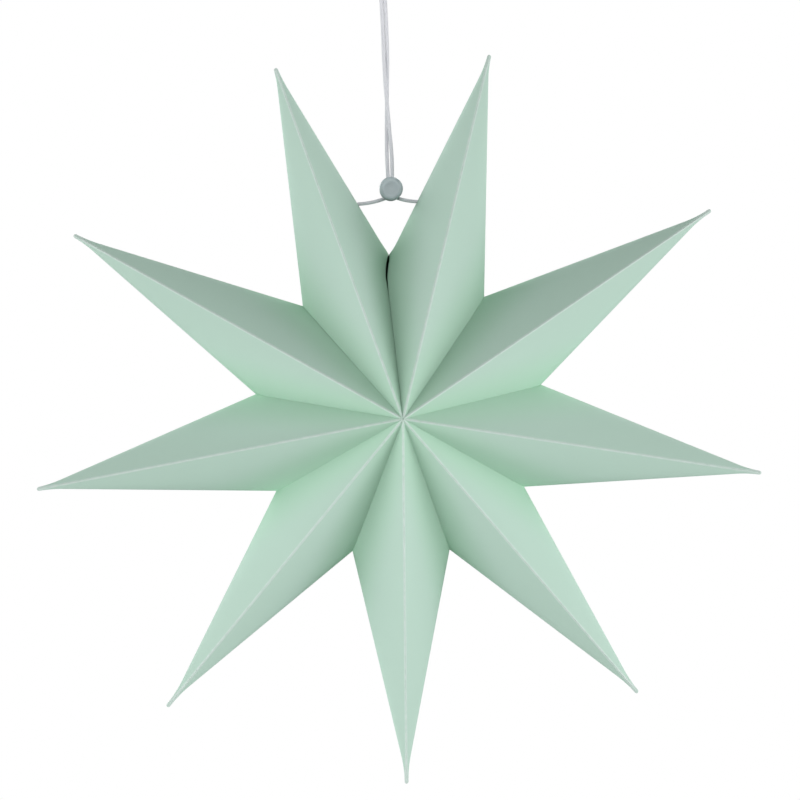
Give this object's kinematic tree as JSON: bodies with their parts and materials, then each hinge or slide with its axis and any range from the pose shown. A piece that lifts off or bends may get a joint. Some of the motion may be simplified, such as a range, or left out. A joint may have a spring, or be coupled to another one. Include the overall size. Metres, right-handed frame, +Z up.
{
  "type": "folding paper star",
  "caption": "Hanging pointed star of folded card that closes flat like a fan, on a looped cord with a spring cord lock.",
  "frame": {"origin": "inside top of the hanging loop, where a hook bears; the star's centre is 340 mm below it", "axes": "+Z up along the cord, the star's front faces -Y, +X to the right seen from the front; the open seam of the star is straight up from its centre"},
  "size_m": [0.4371, 0.1297, 0.5644],
  "materials": {
    "card": "matt uncoated",
    "cord": "smooth woven",
    "lock_plastic": "satin",
    "spring_steel": "bright"
  },
  "bodies": {
    "cord_loop": {"cord_loop": "cord"},
    "cord_tail": {"cord_tail": "cord", "cord_end_left": "cord", "knot_left": "cord"},
    "lock_barrel": {"lock_barrel": "lock_plastic", "lock_spring": "spring_steel"},
    "lock_plunger": {"lock_plunger": "lock_plastic"},
    "ray_1_front_left": {"ray_1_front_left": "card"},
    "ray_1_front_right": {"ray_1_front_right": "card"},
    "ray_1_back_left": {"ray_1_back_left": "card"},
    "ray_1_back_right": {"ray_1_back_right": "card"},
    "ray_2_front_left": {"ray_2_front_left": "card"},
    "ray_2_front_right": {"ray_2_front_right": "card"},
    "ray_2_back_left": {"ray_2_back_left": "card"},
    "ray_2_back_right": {"ray_2_back_right": "card"},
    "ray_3_front_left": {"ray_3_front_left": "card"},
    "ray_3_front_right": {"ray_3_front_right": "card"},
    "ray_3_back_left": {"ray_3_back_left": "card"},
    "ray_3_back_right": {"ray_3_back_right": "card"},
    "ray_4_front_left": {"ray_4_front_left": "card"},
    "ray_4_front_right": {"ray_4_front_right": "card"},
    "ray_4_back_left": {"ray_4_back_left": "card"},
    "ray_4_back_right": {"ray_4_back_right": "card"},
    "ray_5_front_left": {"ray_5_front_left": "card"},
    "ray_5_front_right": {"ray_5_front_right": "card"},
    "ray_5_back_left": {"ray_5_back_left": "card"},
    "ray_5_back_right": {"ray_5_back_right": "card"},
    "ray_6_front_left": {"ray_6_front_left": "card"},
    "ray_6_front_right": {"ray_6_front_right": "card"},
    "ray_6_back_left": {"ray_6_back_left": "card"},
    "ray_6_back_right": {"ray_6_back_right": "card"},
    "ray_7_front_left": {"ray_7_front_left": "card"},
    "ray_7_front_right": {"ray_7_front_right": "card"},
    "ray_7_back_left": {"ray_7_back_left": "card"},
    "ray_7_back_right": {"ray_7_back_right": "card"},
    "ray_8_front_left": {"ray_8_front_left": "card"},
    "ray_8_front_right": {"ray_8_front_right": "card"},
    "ray_8_back_left": {"ray_8_back_left": "card"},
    "ray_8_back_right": {"ray_8_back_right": "card"},
    "ray_9_front_left": {"ray_9_front_left": "card"},
    "ray_9_front_right": {"ray_9_front_right": "card"},
    "ray_9_back_left": {"ray_9_back_left": "card"},
    "ray_9_back_right": {"ray_9_back_right": "card"},
    "cord_end_right": {"cord_end_right": "cord", "knot_right": "cord"}
  },
  "joints": [
    {"name": "star_turn", "type": "hinge", "parent": "cord_loop", "child": "cord_tail", "pos_m": [0.0003, 0, -0.084], "axis": [0, 0, 1], "range_deg": [-180, 180]},
    {"name": "star_swing", "type": "hinge", "parent": "cord_tail", "child": "ray_1_front_right", "pos_m": [0, 0, -0.2102], "axis": [1, 0, 0], "range_deg": [-15, 15]},
    {"name": "lock_slide", "type": "slide", "parent": "cord_tail", "child": "lock_barrel", "axis": [0, 0, 1], "range_m": [0, 0.1]},
    {"name": "lock_press", "type": "slide", "parent": "lock_barrel", "child": "lock_plunger", "axis": [0, 1, 0], "range_m": [0, 0.0027], "stiffness_N_per_m": 900, "springref_m": -0.003, "deforming": ["lock_spring"]},
    {"name": "star_fold", "type": "hinge", "parent": "ray_1_front_right", "child": "ray_1_front_left", "pos_m": [-0.06662, 0, -0.12743], "axis": [0.2863, -0.2893, -0.9134], "range_deg": [0, 65.88]},
    {"name": "ray_1_right_side", "type": "hinge", "parent": "ray_1_front_right", "child": "ray_1_back_right", "pos_m": [-0.06662, 0, -0.12743], "axis": [0.4995, 0, -0.8663], "range_deg": [0, 61.45]},
    {"name": "ray_1_left_side", "type": "hinge", "parent": "ray_1_front_left", "child": "ray_1_back_left", "pos_m": [-0.06662, 0, -0.12743], "axis": [-0.0738, 0, 0.9973], "range_deg": [0, 64.19]},
    {"name": "valley_1_2", "type": "hinge", "parent": "ray_1_front_left", "child": "ray_2_front_right", "pos_m": [0, -0.068, -0.34], "axis": [-0.5044, 0.6071, 0.614], "range_deg": [0, 86.24]},
    {"name": "ray_2_ridge", "type": "hinge", "parent": "ray_2_front_right", "child": "ray_2_front_left", "pos_m": [-0.19049, 0, -0.22465], "axis": [0.8188, -0.2893, -0.4959], "range_deg": [0, 72.93]},
    {"name": "ray_2_right_side", "type": "hinge", "parent": "ray_2_front_right", "child": "ray_2_back_right", "pos_m": [-0.19049, 0, -0.22465], "axis": [0.9434, 0, -0.3316], "range_deg": [0, 67.78]},
    {"name": "ray_2_left_side", "type": "hinge", "parent": "ray_2_front_left", "child": "ray_2_back_left", "pos_m": [-0.19049, 0, -0.22465], "axis": [-0.7222, 0, 0.6917], "range_deg": [0, 70.93]},
    {"name": "valley_2_3", "type": "hinge", "parent": "ray_2_front_left", "child": "ray_3_front_right", "pos_m": [0, -0.068, -0.34], "axis": [-0.7816, 0.6071, 0.1434], "range_deg": [0, 91.95]},
    {"name": "ray_3_ridge", "type": "hinge", "parent": "ray_3_front_right", "child": "ray_3_front_left", "pos_m": [-0.21975, 0, -0.37599], "axis": [0.9447, -0.2893, 0.1547], "range_deg": [0, 72.6]},
    {"name": "ray_3_right_side", "type": "hinge", "parent": "ray_3_front_right", "child": "ray_3_back_right", "pos_m": [-0.21975, 0, -0.37599], "axis": [0.9317, 0, 0.3632], "range_deg": [0, 68.47]},
    {"name": "ray_3_left_side", "type": "hinge", "parent": "ray_3_front_left", "child": "ray_3_back_left", "pos_m": [-0.21975, 0, -0.37599], "axis": [-0.9987, 0, 0.0516], "range_deg": [0, 69.61]},
    {"name": "valley_3_4", "type": "hinge", "parent": "ray_3_front_left", "child": "ray_4_front_right", "pos_m": [0, -0.068, -0.34], "axis": [-0.6916, 0.6071, -0.3913], "range_deg": [0, 90.96]},
    {"name": "ray_4_ridge", "type": "hinge", "parent": "ray_4_front_right", "child": "ray_4_front_left", "pos_m": [-0.14549, 0, -0.50855], "axis": [0.6255, -0.2893, 0.7246], "range_deg": [0, 71.74]},
    {"name": "ray_4_right_side", "type": "hinge", "parent": "ray_4_front_right", "child": "ray_4_back_right", "pos_m": [-0.14549, 0, -0.50855], "axis": [0.4818, 0, 0.8763], "range_deg": [0, 68.47]},
    {"name": "ray_4_left_side", "type": "hinge", "parent": "ray_4_front_left", "child": "ray_4_back_left", "pos_m": [-0.14549, 0, -0.50855], "axis": [-0.7954, 0, -0.6061], "range_deg": [0, 68.01]},
    {"name": "valley_4_5", "type": "hinge", "parent": "ray_4_front_left", "child": "ray_5_front_right", "pos_m": [0, -0.068, -0.34], "axis": [-0.2886, 0.6071, -0.7403], "range_deg": [0, 90.46]},
    {"name": "ray_5_ridge", "type": "hinge", "parent": "ray_5_front_right", "child": "ray_5_front_left", "pos_m": [-0.00467, 0, -0.56261], "axis": [0.02, -0.2893, 0.957], "range_deg": [0, 71.85]},
    {"name": "ray_5_right_side", "type": "hinge", "parent": "ray_5_front_right", "child": "ray_5_back_right", "pos_m": [-0.00467, 0, -0.56261], "axis": [-0.1909, 0, 0.9816], "range_deg": [0, 69.38]},
    {"name": "ray_5_left_side", "type": "hinge", "parent": "ray_5_front_left", "child": "ray_5_back_left", "pos_m": [-0.00467, 0, -0.56261], "axis": [-0.2238, 0, -0.9746], "range_deg": [0, 67.31]},
    {"name": "valley_5_6", "type": "hinge", "parent": "ray_5_front_left", "child": "ray_6_front_right", "pos_m": [0, -0.068, -0.34], "axis": [0.2455, 0.6071, -0.7557], "range_deg": [0, 90.11]},
    {"name": "ray_6_ridge", "type": "hinge", "parent": "ray_6_front_right", "child": "ray_6_front_left", "pos_m": [0.13769, 0, -0.51499], "axis": [-0.592, -0.2893, 0.7523], "range_deg": [0, 72.1]},
    {"name": "ray_6_right_side", "type": "hinge", "parent": "ray_6_front_right", "child": "ray_6_back_right", "pos_m": [0.13769, 0, -0.51499], "axis": [-0.7711, 0, 0.6367], "range_deg": [0, 69.61]},
    {"name": "ray_6_left_side", "type": "hinge", "parent": "ray_6_front_left", "child": "ray_6_back_left", "pos_m": [0.13769, 0, -0.51499], "axis": [0.4449, 0, -0.8956], "range_deg": [0, 67.54]},
    {"name": "valley_6_7", "type": "hinge", "parent": "ray_6_front_left", "child": "ray_7_front_right", "pos_m": [0, -0.068, -0.34], "axis": [0.6702, 0.6071, -0.4269], "range_deg": [0, 91.43]},
    {"name": "ray_7_ridge", "type": "hinge", "parent": "ray_7_front_right", "child": "ray_7_front_left", "pos_m": [0.2182, 0, -0.38479], "axis": [-0.9377, -0.2893, 0.1925], "range_deg": [0, 75.08]},
    {"name": "ray_7_right_side", "type": "hinge", "parent": "ray_7_front_right", "child": "ray_7_back_right", "pos_m": [0.2182, 0, -0.38479], "axis": [-0.9998, 0, -0.0177], "range_deg": [0, 71.15]},
    {"name": "ray_7_left_side", "type": "hinge", "parent": "ray_7_front_left", "child": "ray_7_back_left", "pos_m": [0.2182, 0, -0.38479], "axis": [0.9113, 0, -0.4118], "range_deg": [0, 71.58]},
    {"name": "valley_7_8", "type": "hinge", "parent": "ray_7_front_left", "child": "ray_8_front_right", "pos_m": [0, -0.068, -0.34], "axis": [0.7837, 0.6071, 0.1311], "range_deg": [0, 95.23]},
    {"name": "ray_8_ridge", "type": "hinge", "parent": "ray_8_front_right", "child": "ray_8_front_left", "pos_m": [0.19114, 0, -0.22561], "axis": [-0.8214, -0.2893, -0.4916], "range_deg": [0, 75.53]},
    {"name": "ray_8_right_side", "type": "hinge", "parent": "ray_8_front_right", "child": "ray_8_back_right", "pos_m": [0.19114, 0, -0.22561], "axis": [-0.7221, 0, -0.6918], "range_deg": [0, 72.21]},
    {"name": "ray_8_left_side", "type": "hinge", "parent": "ray_8_front_left", "child": "ray_8_back_left", "pos_m": [0.19114, 0, -0.22561], "axis": [0.9498, 0, 0.3129], "range_deg": [0, 71.36]},
    {"name": "valley_8_9", "type": "hinge", "parent": "ray_8_front_left", "child": "ray_9_front_right", "pos_m": [0, -0.068, -0.34], "axis": [0.4903, 0.6071, 0.6253], "range_deg": [0, 88.4]},
    {"name": "ray_9_ridge", "type": "hinge", "parent": "ray_9_front_right", "child": "ray_9_front_left", "pos_m": [0.0629, 0, -0.12634], "axis": [-0.2703, -0.2893, -0.9183], "range_deg": [0, 64.12]},
    {"name": "ray_9_right_side", "type": "hinge", "parent": "ray_9_front_right", "child": "ray_9_back_right", "pos_m": [0.0629, 0, -0.12634], "axis": [-0.059, 0, -0.9983], "range_deg": [0, 63.47]},
    {"name": "ray_9_left_side", "type": "hinge", "parent": "ray_9_front_left", "child": "ray_9_back_left", "pos_m": [0.0629, 0, -0.12634], "axis": [0.4745, 0, 0.8802], "range_deg": [0, 58.76]},
    {"name": "right_end_turn", "type": "hinge", "parent": "ray_9_front_left", "child": "cord_end_right", "pos_m": [0.01714, 0, -0.2102], "axis": [1, 0, 0], "range_deg": [-15.05, 15.05]}
  ],
  "couplings": [
    {"joint": "ray_1_right_side", "follows": "star_fold", "ratio": 0.93208},
    {"joint": "ray_1_left_side", "follows": "star_fold", "ratio": 0.97355},
    {"joint": "valley_1_2", "follows": "star_fold", "ratio": 1.3083},
    {"joint": "ray_2_ridge", "follows": "star_fold", "ratio": 1.1063},
    {"joint": "ray_2_right_side", "follows": "star_fold", "ratio": 1.0281},
    {"joint": "ray_2_left_side", "follows": "star_fold", "ratio": 1.0759},
    {"joint": "valley_2_3", "follows": "star_fold", "ratio": 1.395},
    {"joint": "ray_3_ridge", "follows": "star_fold", "ratio": 1.1012},
    {"joint": "ray_3_right_side", "follows": "star_fold", "ratio": 1.0386},
    {"joint": "ray_3_left_side", "follows": "star_fold", "ratio": 1.0558},
    {"joint": "valley_3_4", "follows": "star_fold", "ratio": 1.38},
    {"joint": "ray_4_ridge", "follows": "star_fold", "ratio": 1.0883},
    {"joint": "ray_4_right_side", "follows": "star_fold", "ratio": 1.0386},
    {"joint": "ray_4_left_side", "follows": "star_fold", "ratio": 1.0316},
    {"joint": "valley_4_5", "follows": "star_fold", "ratio": 1.3723},
    {"joint": "ray_5_ridge", "follows": "star_fold", "ratio": 1.0899},
    {"joint": "ray_5_right_side", "follows": "star_fold", "ratio": 1.0524},
    {"joint": "ray_5_left_side", "follows": "star_fold", "ratio": 1.0209},
    {"joint": "valley_5_6", "follows": "star_fold", "ratio": 1.367},
    {"joint": "ray_6_ridge", "follows": "star_fold", "ratio": 1.0937},
    {"joint": "ray_6_right_side", "follows": "star_fold", "ratio": 1.0558},
    {"joint": "ray_6_left_side", "follows": "star_fold", "ratio": 1.0245},
    {"joint": "valley_6_7", "follows": "star_fold", "ratio": 1.3871},
    {"joint": "ray_7_ridge", "follows": "star_fold", "ratio": 1.1389},
    {"joint": "ray_7_right_side", "follows": "star_fold", "ratio": 1.0792},
    {"joint": "ray_7_left_side", "follows": "star_fold", "ratio": 1.0857},
    {"joint": "valley_7_8", "follows": "star_fold", "ratio": 1.4447},
    {"joint": "ray_8_ridge", "follows": "star_fold", "ratio": 1.1458},
    {"joint": "ray_8_right_side", "follows": "star_fold", "ratio": 1.0954},
    {"joint": "ray_8_left_side", "follows": "star_fold", "ratio": 1.0825},
    {"joint": "valley_8_9", "follows": "star_fold", "ratio": 1.341},
    {"joint": "ray_9_ridge", "follows": "star_fold", "ratio": 0.97257},
    {"joint": "ray_9_right_side", "follows": "star_fold", "ratio": 0.96271},
    {"joint": "ray_9_left_side", "follows": "star_fold", "ratio": 0.89116},
    {"joint": "right_end_turn", "follows": "star_swing", "ratio": -1}
  ]
}
